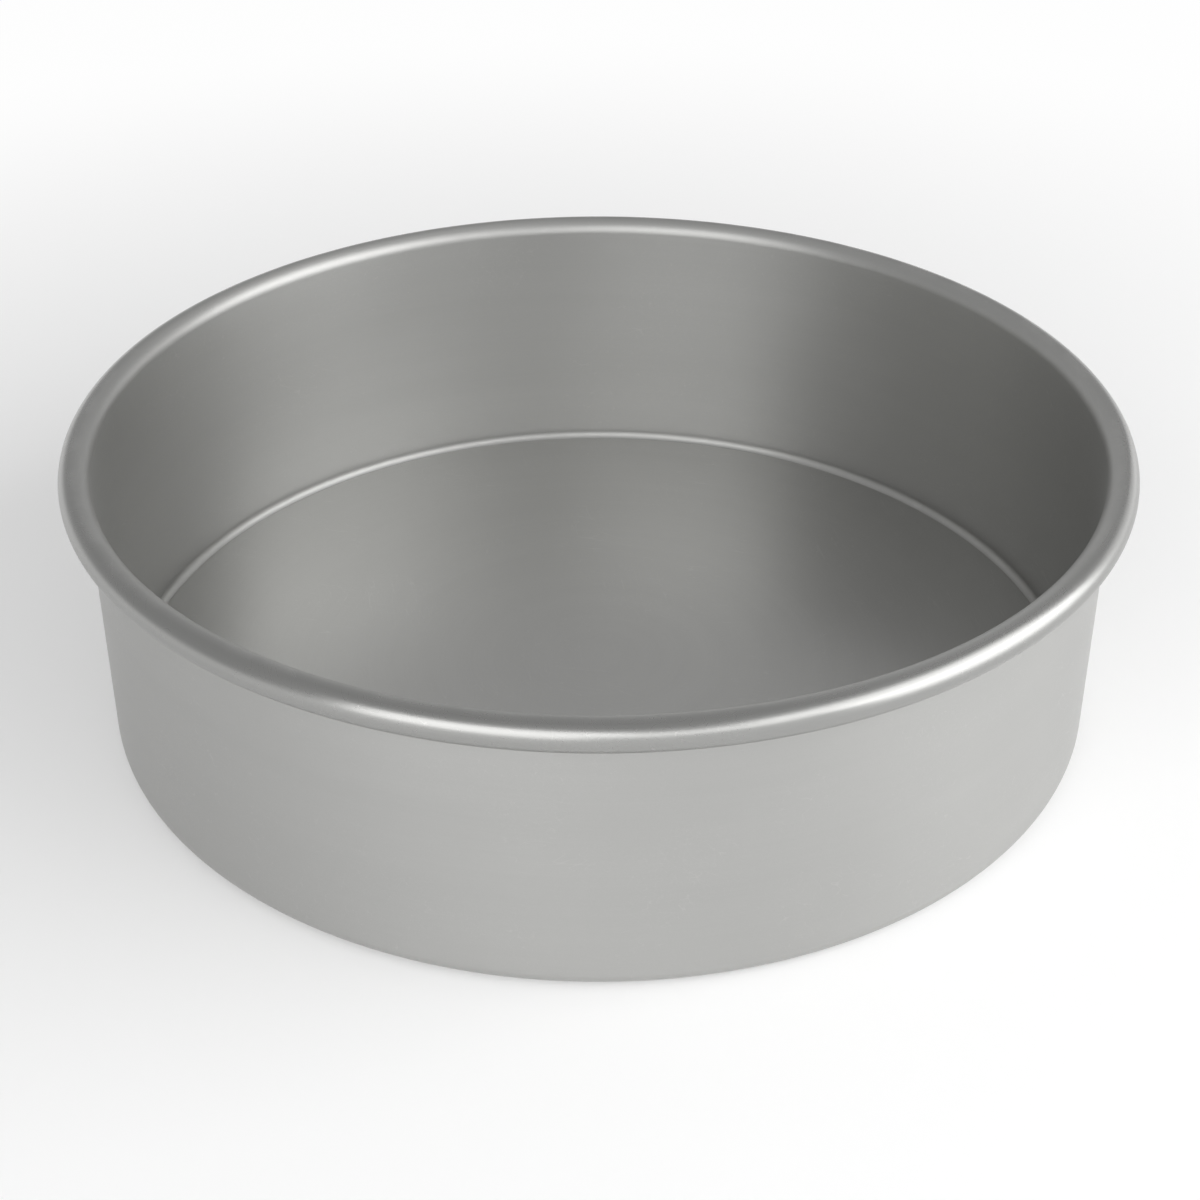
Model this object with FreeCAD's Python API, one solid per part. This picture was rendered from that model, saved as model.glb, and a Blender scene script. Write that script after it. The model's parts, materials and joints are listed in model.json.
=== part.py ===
import FreeCAD, Part
import math
import os

# Round cake tin: a spun sheet-metal shell with a curled rim and an in-turned ledge,
# and a loose flat base that lies on the ledge and is pushed up to free the cake.
# Millimetres, +Z up, the origin at the middle of the underside.

# Shell, spun from one sheet
inside_diameter = 254.0
overall_height = 75.5
sheet_thickness = 1.6
corner_radius = 2.5
curl_diameter = 7.8
curl_gap = 0.3
ledge_width = 14.0

# Loose base, a flat disc
base_thickness = 1.0
base_clearance = 0.3

# Directions in the profile, in degrees: 0 points away from the axis and 90 points up
outward = 0
upward = 90
inward = 180
downward = -90
full_turn = 360
half_turn = 180


def profile_point(radius, height):
    """A point of the profile, in the plane through the tin's axis."""
    return FreeCAD.Vector(radius, 0, height)


def line(start, end):
    """A straight stretch of a profile."""
    return Part.LineSegment(start, end).toShape()


def on_circle(centre, radius, angle):
    """The point of a circle in the profile plane that lies in one direction from its centre."""
    turn = math.radians(angle)
    return centre + profile_point(radius * math.cos(turn), radius * math.sin(turn))


def arc(centre, radius, start_angle, end_angle):
    """A round stretch of a profile, from one direction to the other."""
    middle_angle = (start_angle + end_angle) / 2
    angles = (start_angle, middle_angle, end_angle)
    points = [on_circle(centre, radius, angle) for angle in angles]
    return Part.Arc(*points).toShape()


def spin(edges):
    """The solid that a closed profile makes when it turns once about the tin's axis."""
    profile = Part.Face(Part.Wire(edges))
    return profile.revolve(FreeCAD.Vector(), FreeCAD.Vector(0, 0, 1), full_turn)


def make_tin_body():
    """Ledge, rounded corner, straight wall and open curl, in one sheet of even thickness."""
    half_sheet = sheet_thickness / 2
    inside_radius = inside_diameter / 2
    wall_outside_radius = inside_radius + sheet_thickness
    corner = profile_point(inside_radius - corner_radius, sheet_thickness + corner_radius)
    ledge_tip = profile_point(inside_radius - ledge_width + half_sheet, half_sheet)

    # The curl turns outward and down until its round end is one gap away from the wall.
    curl_radius = curl_diameter / 2
    curl = profile_point(inside_radius + curl_radius, overall_height - curl_radius)
    curl_mid_sheet_radius = curl_radius - half_sheet
    end_reach = curl_mid_sheet_radius - sheet_thickness - curl_gap
    curl_end_angle = math.degrees(math.acos(end_reach / curl_mid_sheet_radius)) - half_turn
    curl_end = on_circle(curl, curl_mid_sheet_radius, curl_end_angle)

    return spin([
        line(profile_point(ledge_tip.x, sheet_thickness), profile_point(corner.x, sheet_thickness)),
        arc(corner, corner_radius, downward, outward),
        line(profile_point(inside_radius, corner.z), profile_point(inside_radius, curl.z)),
        arc(curl, curl_radius, inward, curl_end_angle),
        arc(curl_end, half_sheet, curl_end_angle, curl_end_angle - half_turn),
        arc(curl, curl_radius - sheet_thickness, curl_end_angle, inward),
        line(profile_point(wall_outside_radius, curl.z), profile_point(wall_outside_radius, corner.z)),
        arc(corner, corner_radius + sheet_thickness, outward, downward),
        line(profile_point(corner.x, 0), profile_point(ledge_tip.x, 0)),
        arc(ledge_tip, half_sheet, downward, downward - half_turn),
    ])


def make_loose_base():
    """A flat disc with a round edge; its flat underside ends just short of the shell's corner."""
    half_base = base_thickness / 2
    flat_radius = inside_diameter / 2 - corner_radius - base_clearance
    underside = sheet_thickness
    top = underside + base_thickness
    return spin([
        line(profile_point(0, underside), profile_point(flat_radius, underside)),
        arc(profile_point(flat_radius, underside + half_base), half_base, downward, upward),
        line(profile_point(flat_radius, top), profile_point(0, top)),
        line(profile_point(0, top), profile_point(0, underside)),
    ])


os.makedirs("parts", exist_ok=True)
make_tin_body().exportStep("parts/tin_body.step")
make_loose_base().exportStep("parts/loose_base.step")
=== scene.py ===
import json
import math

import bpy
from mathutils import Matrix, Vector


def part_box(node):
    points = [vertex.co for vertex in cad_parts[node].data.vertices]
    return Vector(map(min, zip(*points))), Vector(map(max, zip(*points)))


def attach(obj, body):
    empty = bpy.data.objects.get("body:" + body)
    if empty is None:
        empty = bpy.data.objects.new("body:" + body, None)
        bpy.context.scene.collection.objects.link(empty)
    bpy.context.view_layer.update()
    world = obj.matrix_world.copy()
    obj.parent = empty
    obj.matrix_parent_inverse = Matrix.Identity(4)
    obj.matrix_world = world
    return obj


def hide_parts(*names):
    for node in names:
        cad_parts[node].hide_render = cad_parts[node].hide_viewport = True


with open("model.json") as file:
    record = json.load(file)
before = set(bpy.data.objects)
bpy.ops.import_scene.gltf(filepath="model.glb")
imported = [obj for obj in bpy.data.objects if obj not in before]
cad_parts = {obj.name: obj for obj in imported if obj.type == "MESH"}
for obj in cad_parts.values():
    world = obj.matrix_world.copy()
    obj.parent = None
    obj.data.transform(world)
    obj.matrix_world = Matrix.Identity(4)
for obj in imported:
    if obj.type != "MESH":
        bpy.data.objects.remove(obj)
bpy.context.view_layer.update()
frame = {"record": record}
scene = bpy.context.scene

# Sizes of the tin in metres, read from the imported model
millimetre = 0.001
mounts = {mount["name"]: mount for mount in frame["record"]["mounts"]}
shell_low, shell_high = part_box("tin_body")
base_low, base_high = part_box("loose_base")
inside_radius = mounts["tin_inside"]["dims"]["r_mm"] * millimetre
straight_wall_height = mounts["tin_inside"]["dims"]["length_mm"] * millimetre
rim_height = shell_high.z
rim_radius = min(shell_high.x, -shell_low.x)
curl_radius = (rim_radius - inside_radius) / 2
curl_height = rim_height - curl_radius
sheet = base_low.z - shell_low.z
corner_height = curl_height - straight_wall_height
corner_radius = corner_height - sheet
base_radius = base_high.x
base_thickness = base_high.z - base_low.z

# Where the sheet's two free edges end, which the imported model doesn't say
ledge_width = 14 * millimetre
curl_gap = 0.3 * millimetre

# How finely the turned pieces are divided
turn_steps = 384
arc_piece = 0.25 * millimetre
straight_piece = 4 * millimetre

# Directions in a profile, where the first axis points away from the tin's axis and the second points up
away = Vector((1, 0))
up = Vector((0, 1))
away_angle = 0
up_angle = math.pi / 2
down_angle = -math.pi / 2
inward_angle = math.pi


def straight_stretch(start, end, facing):
    """Profile points from start up to, but not with, end; each is a place and the way the sheet faces."""
    steps = max(1, round((end - start).length / straight_piece))
    return [(start.lerp(end, step / steps), facing) for step in range(steps)]


def round_stretch(centre, radius, start_angle, end_angle, hollow=False):
    """Profile points round an arc, without its last; a hollow arc faces its own centre."""
    sweep = end_angle - start_angle
    steps = math.ceil(abs(sweep) * radius / arc_piece)
    points = []
    for step in range(steps):
        angle = start_angle + sweep * step / steps
        direction = Vector((math.cos(angle), math.sin(angle)))
        points.append((centre + direction * radius, -direction if hollow else direction))
    return points


def spin(name, profile):
    """A mesh object turned from a profile, which starts and ends at the same point or on the axis."""
    places = []
    normals = []
    rings = []
    lengths = [0]
    for index, (place, facing) in enumerate(profile):
        if index:
            lengths.append(lengths[-1] + (place - profile[index - 1][0]).length)
        if index and place == profile[0][0]:
            rings.append(rings[0])
            continue
        ring_steps = turn_steps if place.x else 1
        rings.append([len(places) + step for step in range(ring_steps)])
        for step in range(ring_steps):
            turn = math.tau * step / turn_steps
            spoke = Vector((math.cos(turn), math.sin(turn)))
            places.append((spoke.x * place.x, spoke.y * place.x, place.y))
            normals.append((spoke.x * facing.x, spoke.y * facing.x, facing.y))
    faces = []
    flat_places = []
    for index in range(len(rings) - 1):
        near_ring = rings[index]
        far_ring = rings[index + 1]
        for step in range(turn_steps):
            corners = {}
            for ring, length, turns in (
                (near_ring, lengths[index], step),
                (far_ring, lengths[index + 1], step),
                (far_ring, lengths[index + 1], step + 1),
                (near_ring, lengths[index], step + 1),
            ):
                corners[ring[turns % len(ring)]] = (turns / turn_steps, length / lengths[-1])
            faces.append(list(corners))
            flat_places.extend(corners.values())
    mesh = bpy.data.meshes.new(name)
    mesh.from_pydata(places, [], faces)
    flat_map = mesh.uv_layers.new(name="OFBake")
    for corner, flat_place in zip(flat_map.data, flat_places):
        corner.uv = flat_place
    mesh.shade_smooth()
    mesh.normals_split_custom_set_from_vertices(normals)
    piece = bpy.data.objects.new(name, mesh)
    scene.collection.objects.link(piece)
    return piece


def make_spun_shell():
    """The shell: ledge, rounded corner, wall and open curl, one sheet of even thickness."""
    half_sheet = sheet / 2
    outside_radius = inside_radius + sheet
    corner = Vector((inside_radius - corner_radius, corner_height))
    tip = Vector((inside_radius - ledge_width + half_sheet, half_sheet))
    curl = Vector((inside_radius + curl_radius, curl_height))
    mid_sheet_radius = curl_radius - half_sheet
    end_angle = math.acos(1 - (sheet + curl_gap) / mid_sheet_radius) - math.pi
    end = curl + Vector((math.cos(end_angle), math.sin(end_angle))) * mid_sheet_radius
    profile = [
        *straight_stretch(Vector((tip.x, sheet)), Vector((corner.x, sheet)), up),
        *round_stretch(corner, corner_radius, down_angle, away_angle, hollow=True),
        *straight_stretch(Vector((inside_radius, corner.y)), Vector((inside_radius, curl.y)), -away),
        *round_stretch(curl, curl_radius, inward_angle, end_angle),
        *round_stretch(end, half_sheet, end_angle, end_angle - math.pi),
        *round_stretch(curl, curl_radius - sheet, end_angle, inward_angle, hollow=True),
        *straight_stretch(Vector((outside_radius, curl.y)), Vector((outside_radius, corner.y)), away),
        *round_stretch(corner, corner_radius + sheet, away_angle, down_angle),
        *straight_stretch(Vector((corner.x, 0)), Vector((tip.x, 0)), -up),
        *round_stretch(tip, half_sheet, down_angle, down_angle - math.pi),
        (Vector((tip.x, sheet)), up),
    ]
    return spin("spun_shell", profile)


def make_flat_base():
    """The loose base: a flat disc with a round edge."""
    half_base = base_thickness / 2
    edge = Vector((base_radius - half_base, base_low.z + half_base))
    profile = [
        *straight_stretch(Vector((0, base_high.z)), Vector((edge.x, base_high.z)), up),
        *round_stretch(edge, half_base, up_angle, down_angle),
        *straight_stretch(Vector((edge.x, base_low.z)), Vector((0, base_low.z)), -up),
        (Vector((0, base_low.z)), -up),
    ]
    return spin("flat_base", profile)


# Nodes of the finishes
def add_node(tree, kind, sockets=None, **settings):
    """A new node with its settings; each socket named takes a value or is joined to another node's output."""
    node = tree.nodes.new(kind)
    for setting, choice in settings.items():
        setattr(node, setting, choice)
    for socket, value in (sockets or {}).items():
        if isinstance(value, bpy.types.NodeSocket):
            tree.links.new(value, node.inputs[socket])
        else:
            node.inputs[socket].default_value = value
    return node


def calculate(tree, operation, *numbers):
    """The output of a Math node."""
    return add_node(tree, "ShaderNodeMath", dict(enumerate(numbers)), operation=operation).outputs["Value"]


def fade(tree, value, start, end, start_result, end_result):
    """A value that goes smoothly from one result to the other between start and end, and stays there."""
    sockets = {
        "Value": value,
        "From Min": start,
        "From Max": end,
        "To Min": start_result,
        "To Max": end_result,
    }
    return add_node(tree, "ShaderNodeMapRange", sockets, interpolation_type="SMOOTHSTEP").outputs["Result"]


def weighted_sum(tree, start, parts):
    """Start plus each part's value times its weight."""
    total = start
    for value, weight in parts:
        total = calculate(tree, "MULTIPLY_ADD", value, weight, total)
    return total


def start_group(name, inputs, output):
    """A node group with number inputs and one number output: its tree, its inputs and its output node."""
    tree = bpy.data.node_groups.new(name, "ShaderNodeTree")
    for socket in inputs:
        tree.interface.new_socket(socket, in_out="INPUT", socket_type="NodeSocketFloat")
    tree.interface.new_socket(output, in_out="OUTPUT", socket_type="NodeSocketFloat")
    given = tree.nodes.new("NodeGroupInput").outputs
    leave = tree.nodes.new("NodeGroupOutput")
    return tree, given, leave


def piece_place(tree):
    """Places in the piece's own metres, which move with the piece."""
    return add_node(tree, "ShaderNodeTexCoord").outputs["Object"]


# What is kept of a place's three measures for its distance from the tin's axis
level_measures = (1, 1, 0)


def axis_distance(tree, place):
    """The distance of a place from the tin's axis."""
    level = add_node(tree, "ShaderNodeVectorMath", {0: place, 1: level_measures}, operation="MULTIPLY")
    radius = add_node(tree, "ShaderNodeVectorMath", {0: level.outputs["Vector"]}, operation="LENGTH")
    return radius.outputs["Value"]


def turned_place(tree):
    """The distance from the tin's axis and the height of each place."""
    place = piece_place(tree)
    height = add_node(tree, "ShaderNodeSeparateXYZ", {"Vector": place}).outputs["Z"]
    return axis_distance(tree, place), height


# Noise values between the low and the high one spread over the whole range of an effect
noise_low = 0.28
noise_high = 0.72
noise_middle = 0.5

# How many finer layers a noise has
plain_detail = 0
fine_detail = 2
patchy_detail = 3


def spread_noise(tree, noise):
    """A noise value spread from -1 to 1, so that it is 0 on average."""
    sockets = {
        "Value": noise.outputs["Fac"],
        "From Min": noise_low,
        "From Max": noise_high,
        "To Min": -1,
        "To Max": 1,
    }
    return add_node(tree, "ShaderNodeMapRange", sockets).outputs["Result"]


def make_spinning_lines():
    """Rings about the axis, as the spinning roller leaves them, that run for a while and fade."""
    tree, given, leave = start_group("spinning_lines", ["Pitch", "Run"], "Lines")
    radius, height = turned_place(tree)
    place = add_node(tree, "ShaderNodeSeparateXYZ", {"Vector": piece_place(tree)}).outputs
    sockets = {
        "X": calculate(tree, "DIVIDE", radius, given["Pitch"]),
        "Y": calculate(tree, "DIVIDE", height, given["Pitch"]),
        "Z": calculate(tree, "DIVIDE", place["X"], given["Run"]),
    }
    across = add_node(tree, "ShaderNodeCombineXYZ", sockets).outputs["Vector"]
    along = calculate(tree, "DIVIDE", place["Y"], given["Run"])
    sockets = {"Vector": across, "W": along, "Scale": 1, "Detail": fine_detail}
    noise = add_node(tree, "ShaderNodeTexNoise", sockets, noise_dimensions="4D")
    tree.links.new(spread_noise(tree, noise), leave.inputs["Lines"])
    return tree


def make_grain():
    """Even, directionless variation of one size: the etched grain when small, clouding when large."""
    tree, given, leave = start_group("grain", ["Size"], "Grain")
    scale = calculate(tree, "DIVIDE", 1, given["Size"])
    sockets = {"Vector": piece_place(tree), "Scale": scale, "Detail": fine_detail}
    noise = add_node(tree, "ShaderNodeTexNoise", sockets)
    tree.links.new(spread_noise(tree, noise), leave.inputs["Grain"])
    return tree


# Hairlines lie in a few directions, given in degrees, are thin beside their spacing, and come in patches
hairline_directions = [(20, 0, 15), (-10, 25, 80), (5, -30, 140)]
hairline_width_share = 0.012
hairline_patch_shares = (0.54, 0.66)


def make_hairlines():
    """Fine scratches from use, straight and sparse."""
    tree, given, leave = start_group("hairlines", ["Length", "Spacing"], "Hairlines")
    sockets = {"X": given["Length"], "Y": given["Spacing"], "Z": given["Spacing"]}
    stretch = add_node(tree, "ShaderNodeCombineXYZ", sockets).outputs["Vector"]
    patch_scale = calculate(tree, "DIVIDE", 1, given["Length"])
    place = piece_place(tree)
    hairlines = 0
    for direction in hairline_directions:
        sockets = {"Vector": place, "Rotation": [math.radians(angle) for angle in direction]}
        rotated = add_node(tree, "ShaderNodeVectorRotate", sockets, rotation_type="EULER_XYZ")
        turned = rotated.outputs["Vector"]
        stretched = add_node(tree, "ShaderNodeVectorMath", {0: turned, 1: stretch}, operation="DIVIDE")
        sockets = {"Vector": stretched.outputs["Vector"], "Scale": 1, "Detail": plain_detail}
        waves = add_node(tree, "ShaderNodeTexNoise", sockets).outputs["Fac"]
        off_middle = calculate(tree, "ABSOLUTE", calculate(tree, "SUBTRACT", waves, noise_middle))
        line = fade(tree, off_middle, 0, hairline_width_share, 1, 0)
        sockets = {"Vector": turned, "Scale": patch_scale, "Detail": plain_detail}
        patches = add_node(tree, "ShaderNodeTexNoise", sockets).outputs["Fac"]
        patch = fade(tree, patches, *hairline_patch_shares, 0, 1)
        hairlines = calculate(tree, "MAXIMUM", hairlines, calculate(tree, "MULTIPLY", line, patch))
    tree.links.new(hairlines, leave.inputs["Hairlines"])
    return tree


def ring_mask(tree, given):
    """1 within reach of a ring about the axis, and 0 from one blend further."""
    radius, height = turned_place(tree)
    sockets = {
        "X": calculate(tree, "SUBTRACT", radius, given["Ring Radius"]),
        "Y": calculate(tree, "SUBTRACT", height, given["Ring Height"]),
    }
    offset = add_node(tree, "ShaderNodeCombineXYZ", sockets).outputs["Vector"]
    distance = add_node(tree, "ShaderNodeVectorMath", {0: offset}, operation="LENGTH").outputs["Value"]
    end = calculate(tree, "ADD", given["Reach"], given["Blend"])
    return fade(tree, distance, given["Reach"], end, 1, 0)


# What says where a ring lies and how wide it is
ring_sockets = ["Ring Radius", "Ring Height", "Reach", "Blend"]


def make_burnished_shaded_ring():
    """1 on a rounded part that a tool has smoothed and whose colour is painted darker, a painted shade that
    dims its highlights, and 0 away from it.
    """
    tree, given, leave = start_group("burnished_shaded_ring", ring_sockets, "Burnished Shaded")
    tree.links.new(ring_mask(tree, given), leave.inputs["Burnished Shaded"])
    return tree


# Noise values over which a rubbed patch begins
rubbed_patch_shares = (0.4, 0.62)


def make_rubbed_ring():
    """1 in patches along an edge that hands, the other piece or the table rub."""
    tree, given, leave = start_group("rubbed_ring", [*ring_sockets, "Patch"], "Rubbed")
    band = ring_mask(tree, given)
    scale = calculate(tree, "DIVIDE", 1, given["Patch"])
    sockets = {"Vector": piece_place(tree), "Scale": scale, "Detail": patchy_detail}
    patches = add_node(tree, "ShaderNodeTexNoise", sockets).outputs["Fac"]
    patch = fade(tree, patches, *rubbed_patch_shares, 0, 1)
    tree.links.new(calculate(tree, "MULTIPLY", band, patch), leave.inputs["Rubbed"])
    return tree


spinning_lines = make_spinning_lines()
grain = make_grain()
hairlines = make_hairlines()
burnished_shaded_ring = make_burnished_shaded_ring()
rubbed_ring = make_rubbed_ring()

# Colours of the anodised film on the two pieces
spun_colour = (0.46, 0.46, 0.45)
base_colour = (0.545, 0.545, 0.535)

# How much of its light a finish keeps where it is seen at a flat angle
spun_edge_tint = (1, 1, 1)
base_edge_tint = (0.4, 0.4, 0.4)

# Sizes of the marks in the finish
fine_pitch = 0.5 * millimetre
fine_run = 45 * millimetre
broad_pitch = 6 * millimetre
broad_run = 150 * millimetre
cloud_size = 70 * millimetre
grain_size = 0.35 * millimetre
hairline_length = 30 * millimetre
hairline_spacing = 1.6 * millimetre
rubbed_patch = 12 * millimetre

# Depths of the marks in the finish
grain_depth = 0.0012 * millimetre
spun_line_depth = 0.0015 * millimetre
spun_hairline_depth = 0.002 * millimetre
base_line_depth = 0.0008 * millimetre
base_hairline_depth = 0.003 * millimetre

# How strongly each mark changes the tone and the roughness
line_tone_share = 0.010
band_tone_share = 0.010
cloud_tone_share = 0.015
grain_tone_share = 0.012
hairline_tone_share = 0.05
rubbed_tone_share = 0.07
# Painted shade: the curl's top and outside are coloured darker so that their highlights are dimmer
curl_painted_shade_share = -0.2
line_roughness_share = 0.012
cloud_roughness_share = 0.02
hairline_roughness_share = -0.06
rubbed_roughness_share = -0.08

# Roughness of each finish, and how much more it scatters light across its turning lines than along them
spun_roughness = 0.45
base_roughness = 0.35
burnished_roughness = 0.3
spun_anisotropy = 0.6
base_anisotropy = 0

# A quarter turn, from the direction round the axis to the direction across the turning lines
anisotropic_turn = 0.25

# The curling tool burnishes the top and the outside of the curl, and there the colour is also painted darker,
# a painted shade that dims the curl's highlights; the shares are of the curl's radius
burnished_shaded_outward_share = 0.5
burnished_shaded_upward_share = 0.2
burnished_shaded_reach_share = 0.7
burnished_shaded_blend_share = 0.5
burnished_shaded_curl = {
    "Ring Radius": inside_radius + curl_radius * (1 + burnished_shaded_outward_share),
    "Ring Height": curl_height + curl_radius * burnished_shaded_upward_share,
    "Reach": curl_radius * burnished_shaded_reach_share,
    "Blend": curl_radius * burnished_shaded_blend_share,
}

# Edges where the finish is rubbed: the top of the curl, the edge that the tin stands on, and the base's edge
rubbed_rim_width = 2.5 * millimetre
rubbed_foot_width = 4 * millimetre
rubbed_base_width = 1.2 * millimetre
rubbed_rim = {
    "Ring Radius": inside_radius + curl_radius,
    "Ring Height": rim_height,
    "Reach": 0,
    "Blend": rubbed_rim_width,
}
rubbed_foot = {
    "Ring Radius": inside_radius - corner_radius,
    "Ring Height": 0,
    "Reach": 0,
    "Blend": rubbed_foot_width,
}
rubbed_base_edge = {
    "Ring Radius": base_radius,
    "Ring Height": (base_low.z + base_high.z) / 2,
    "Reach": 0,
    "Blend": rubbed_base_width,
}


def anodised_aluminium(
    name, film_colour, edge_tint, roughness, anisotropic, line_depth, hairline_depth, rubbed, burnished_shaded=None
):
    """Satin anodised aluminium; rubbed lists rings with a worn finish, and the smoother ring, when given, is
    also painted darker, a painted shade that dims its highlights.
    """
    material = bpy.data.materials.new(name)
    material.use_nodes = True
    tree = material.node_tree
    shader = tree.nodes["Principled BSDF"]
    shader.inputs["Metallic"].default_value = 1
    shader.inputs["Specular Tint"].default_value = (*edge_tint, 1)
    shader.inputs["Anisotropic"].default_value = anisotropic
    shader.inputs["Anisotropic Rotation"].default_value = anisotropic_turn
    tangent = add_node(tree, "ShaderNodeTangent", direction_type="RADIAL", axis="Z").outputs["Tangent"]
    tree.links.new(tangent, shader.inputs["Tangent"])

    def effect(group, sockets):
        """The output of a node group placed in this material with its own values."""
        return add_node(tree, "ShaderNodeGroup", sockets, node_tree=group).outputs[0]

    fine_lines = effect(spinning_lines, {"Pitch": fine_pitch, "Run": fine_run})
    broad_lines = effect(spinning_lines, {"Pitch": broad_pitch, "Run": broad_run})
    cloud = effect(grain, {"Size": cloud_size})
    etched_grain = effect(grain, {"Size": grain_size})
    scratches = effect(hairlines, {"Length": hairline_length, "Spacing": hairline_spacing})
    worn = 0
    for ring in rubbed:
        worn = calculate(tree, "MAXIMUM", worn, effect(rubbed_ring, {**ring, "Patch": rubbed_patch}))

    tone = weighted_sum(tree, 1, [
        (fine_lines, line_tone_share),
        (broad_lines, band_tone_share),
        (cloud, cloud_tone_share),
        (etched_grain, grain_tone_share),
        (scratches, hairline_tone_share),
        (worn, rubbed_tone_share),
    ])
    own_roughness = roughness
    if burnished_shaded:
        # The smoother ring is also painted darker here, a painted shade that dims its highlights
        smoother_and_shaded = effect(burnished_shaded_ring, burnished_shaded)
        tone = weighted_sum(tree, tone, [(smoother_and_shaded, curl_painted_shade_share)])
        own_roughness = fade(tree, smoother_and_shaded, 0, 1, roughness, burnished_roughness)
    sockets = {"Vector": film_colour, "Scale": tone}
    toned = add_node(tree, "ShaderNodeVectorMath", sockets, operation="SCALE").outputs["Vector"]
    tree.links.new(toned, shader.inputs["Base Color"])

    total_roughness = weighted_sum(tree, own_roughness, [
        (fine_lines, line_roughness_share),
        (cloud, cloud_roughness_share),
        (scratches, hairline_roughness_share),
        (worn, rubbed_roughness_share),
    ])
    tree.links.new(total_roughness, shader.inputs["Roughness"])

    depth = calculate(tree, "MULTIPLY", fine_lines, line_depth)
    depth = weighted_sum(tree, depth, [(etched_grain, grain_depth), (scratches, -hairline_depth)])
    bump = add_node(tree, "ShaderNodeBump", {"Strength": 1, "Distance": 1, "Height": depth})
    tree.links.new(bump.outputs["Normal"], shader.inputs["Normal"])
    return material


spun_shell = make_spun_shell()
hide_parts("tin_body")
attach(spun_shell, "tin")

flat_base = make_flat_base()
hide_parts("loose_base")
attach(flat_base, "base")

spun_finish = anodised_aluminium(
    "spun_finish",
    film_colour=spun_colour,
    edge_tint=spun_edge_tint,
    roughness=spun_roughness,
    anisotropic=spun_anisotropy,
    line_depth=spun_line_depth,
    hairline_depth=spun_hairline_depth,
    rubbed=[rubbed_rim, rubbed_foot],
    burnished_shaded=burnished_shaded_curl,
)
base_finish = anodised_aluminium(
    "base_finish",
    film_colour=base_colour,
    edge_tint=base_edge_tint,
    roughness=base_roughness,
    anisotropic=base_anisotropy,
    line_depth=base_line_depth,
    hairline_depth=base_hairline_depth,
    rubbed=[rubbed_base_edge],
)
spun_shell.data.materials.append(spun_finish)
flat_base.data.materials.append(base_finish)

# Camera, fitted to the photograph
image_side = 1200
focal_length_in_pixels = 2140.6
view_distance = 0.5468
view_elevation = math.radians(28.04)
view_tilt = math.radians(32.56)
view_turn = math.radians(-0.035)

camera_data = bpy.data.cameras.new("camera")
camera_data.lens = camera_data.sensor_width * focal_length_in_pixels / image_side
camera = bpy.data.objects.new("camera", camera_data)
rim_centre = Vector((0, 0, curl_height))
camera_arm = Vector((0, -math.cos(view_elevation), math.sin(view_elevation)))
camera.location = rim_centre + camera_arm * view_distance
camera.rotation_euler = (math.pi / 2 - view_tilt, 0, view_turn)
scene.collection.objects.link(camera)
scene.camera = camera

# Floor: pale and matte, lifted towards white where the camera and the metal see it, most far from the tin
floor_reach = 12
floor_colour = (0.9, 0.9, 0.9)
near_floor = 0.2
far_floor = 0.55
near_lift_share = 0.18
far_lift_share = 0.96


def mix_shaders(tree, second_share, first, second):
    """Two shaders mixed by the share of the second."""
    return add_node(tree, "ShaderNodeMixShader", {0: second_share, 1: first, 2: second}).outputs["Shader"]


def make_floor():
    """The floor: its upper side shows, and from below it can't be seen."""
    mesh = bpy.data.meshes.new("floor")
    corners = [(-1, -1), (1, -1), (1, 1), (-1, 1)]
    mesh.from_pydata([(x * floor_reach, y * floor_reach, 0) for x, y in corners], [], [range(len(corners))])
    piece = bpy.data.objects.new("floor", mesh)
    scene.collection.objects.link(piece)
    material = bpy.data.materials.new("floor_paper")
    material.use_nodes = True
    tree = material.node_tree
    tree.nodes.clear()
    matte = add_node(tree, "ShaderNodeBsdfDiffuse", {"Color": (*floor_colour, 1)}).outputs["BSDF"]
    white = add_node(tree, "ShaderNodeEmission", {"Strength": 1}).outputs["Emission"]
    path = add_node(tree, "ShaderNodeLightPath").outputs
    seen = calculate(tree, "MAXIMUM", path["Is Camera Ray"], path["Is Glossy Ray"])
    seen = calculate(tree, "MAXIMUM", seen, path["Is Transmission Ray"])
    distance = axis_distance(tree, piece_place(tree))
    lift_share = fade(tree, distance, near_floor, far_floor, near_lift_share, far_lift_share)
    upper_side = mix_shaders(tree, calculate(tree, "MULTIPLY", seen, lift_share), matte, white)
    under_side = add_node(tree, "ShaderNodeBsdfTransparent").outputs["BSDF"]
    from_below = add_node(tree, "ShaderNodeNewGeometry").outputs["Backfacing"]
    surface = mix_shaders(tree, from_below, upper_side, under_side)
    add_node(tree, "ShaderNodeOutputMaterial", {"Surface": surface})
    mesh.materials.append(material)


make_floor()

# Soft studio light: even grey from all round above a white horizon, and soft boxes aimed at the tin
studio_grey = 0.48
horizon_white = 1
light_colour = (1, 1, 1)

# On a dome over the tin the white ends at the first share of its height, and the grey begins at the second
horizon_shares = (0.03, 0.2)

scene.view_settings.view_transform = "Standard"


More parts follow.
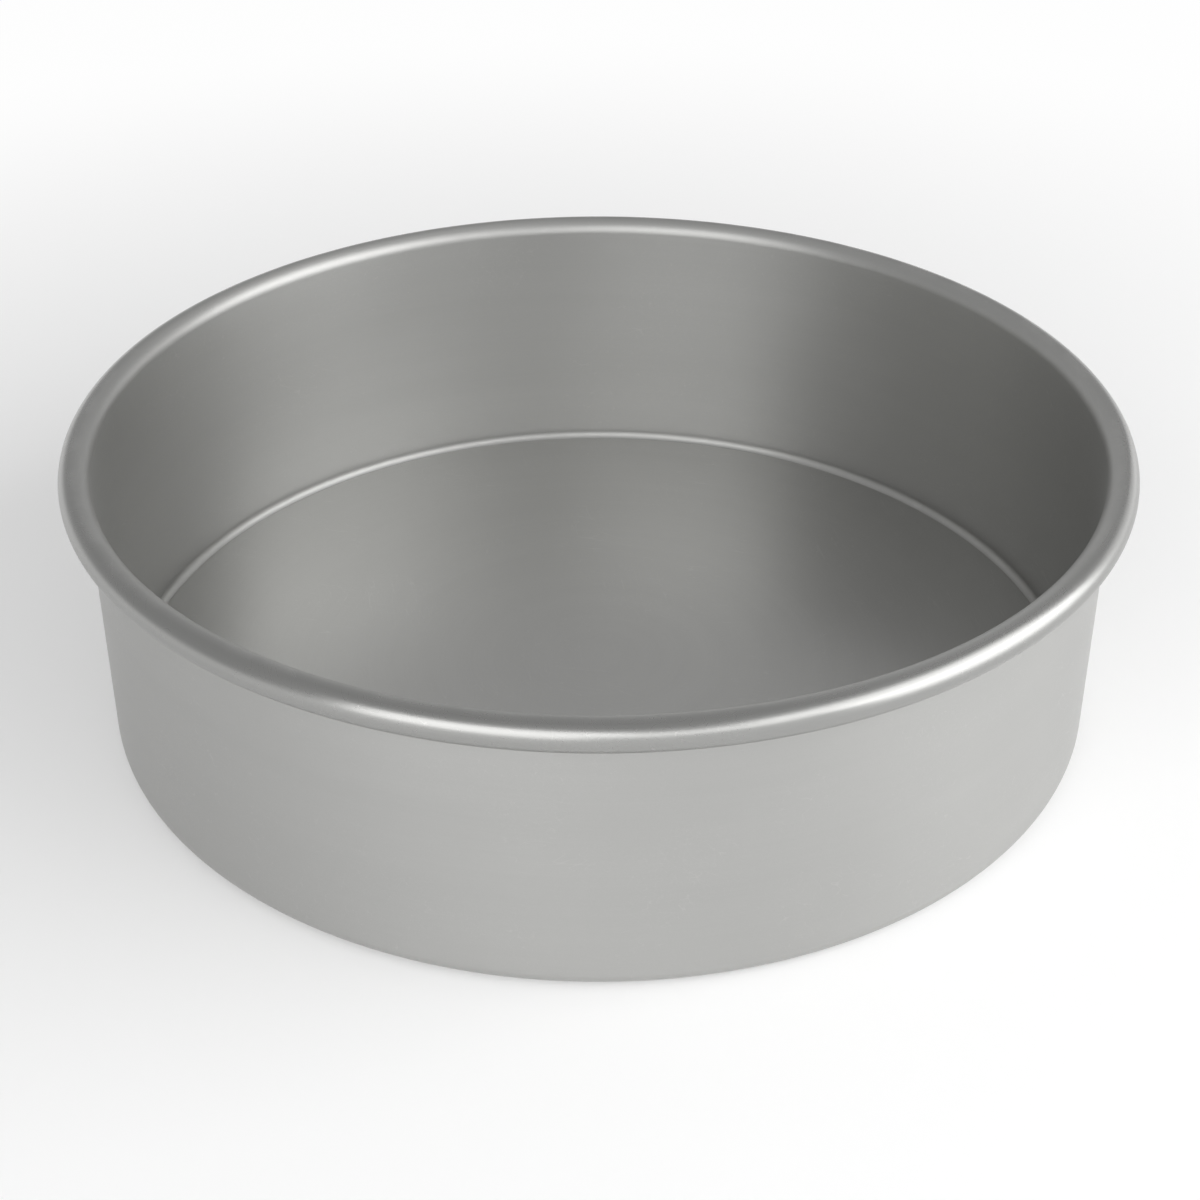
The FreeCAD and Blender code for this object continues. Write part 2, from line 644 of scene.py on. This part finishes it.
def make_studio():
    """The world: white where it meets the floor, and grey above."""
    studio = bpy.data.worlds.new("studio")
    studio.use_nodes = True
    tree = studio.node_tree
    direction = add_node(tree, "ShaderNodeTexCoord").outputs["Generated"]
    height = add_node(tree, "ShaderNodeSeparateXYZ", {"Vector": direction}).outputs["Z"]
    brightness = fade(tree, height, *horizon_shares, horizon_white, studio_grey)
    background = tree.nodes["Background"]
    background.inputs["Color"].default_value = (*light_colour, 1)
    tree.links.new(brightness, background.inputs["Strength"])
    return studio


scene.world = make_studio()

# Soft boxes: the way to each in degrees, from the camera's side towards +X and up, its size and brightness
soft_box_distance = 1.5
soft_boxes = {
    "front_left": {"azimuth": -24, "elevation": 18, "width": 1.2, "height": 0.5, "brightness": 2.15},
    "far_left": {"azimuth": -50, "elevation": 14, "width": 0.7, "height": 0.5, "brightness": 0.2},
    "high_front_left": {"azimuth": -22, "elevation": 37, "width": 1.2, "height": 0.5, "brightness": 2.4},
    "front": {"azimuth": 20, "elevation": 26, "width": 0.9, "height": 0.6, "brightness": 1.8},
    "right": {"azimuth": 80, "elevation": 10, "width": 1.6, "height": 0.45, "brightness": 2.15},
    "mid_right": {"azimuth": 75, "elevation": 26, "width": 1.7, "height": 0.4, "brightness": 3.5},
    "high_right": {"azimuth": 70, "elevation": 44, "width": 1.7, "height": 0.5, "brightness": 2.0},
    "back_right": {"azimuth": 125, "elevation": 12, "width": 0.9, "height": 0.62, "brightness": 0.6},
}


def make_soft_box(name, azimuth, elevation, width, height, brightness):
    """A soft box that faces the middle of the tin's underside; a brightness of 1 is white."""
    lamp = bpy.data.lights.new(name, "AREA")
    lamp.shape = "RECTANGLE"
    lamp.size = width
    lamp.size_y = height
    lamp.energy = brightness * math.pi * width * height
    soft_box = bpy.data.objects.new(name, lamp)
    turn = math.radians(azimuth)
    rise = math.radians(elevation)
    direction = Vector((math.sin(turn) * math.cos(rise), -math.cos(turn) * math.cos(rise), math.sin(rise)))
    soft_box.location = direction * soft_box_distance
    soft_box.rotation_euler = direction.to_track_quat("Z", "Y").to_euler()
    soft_box.visible_camera = False
    scene.collection.objects.link(soft_box)


for side, settings in soft_boxes.items():
    make_soft_box(f"{side}_soft_box", **settings)
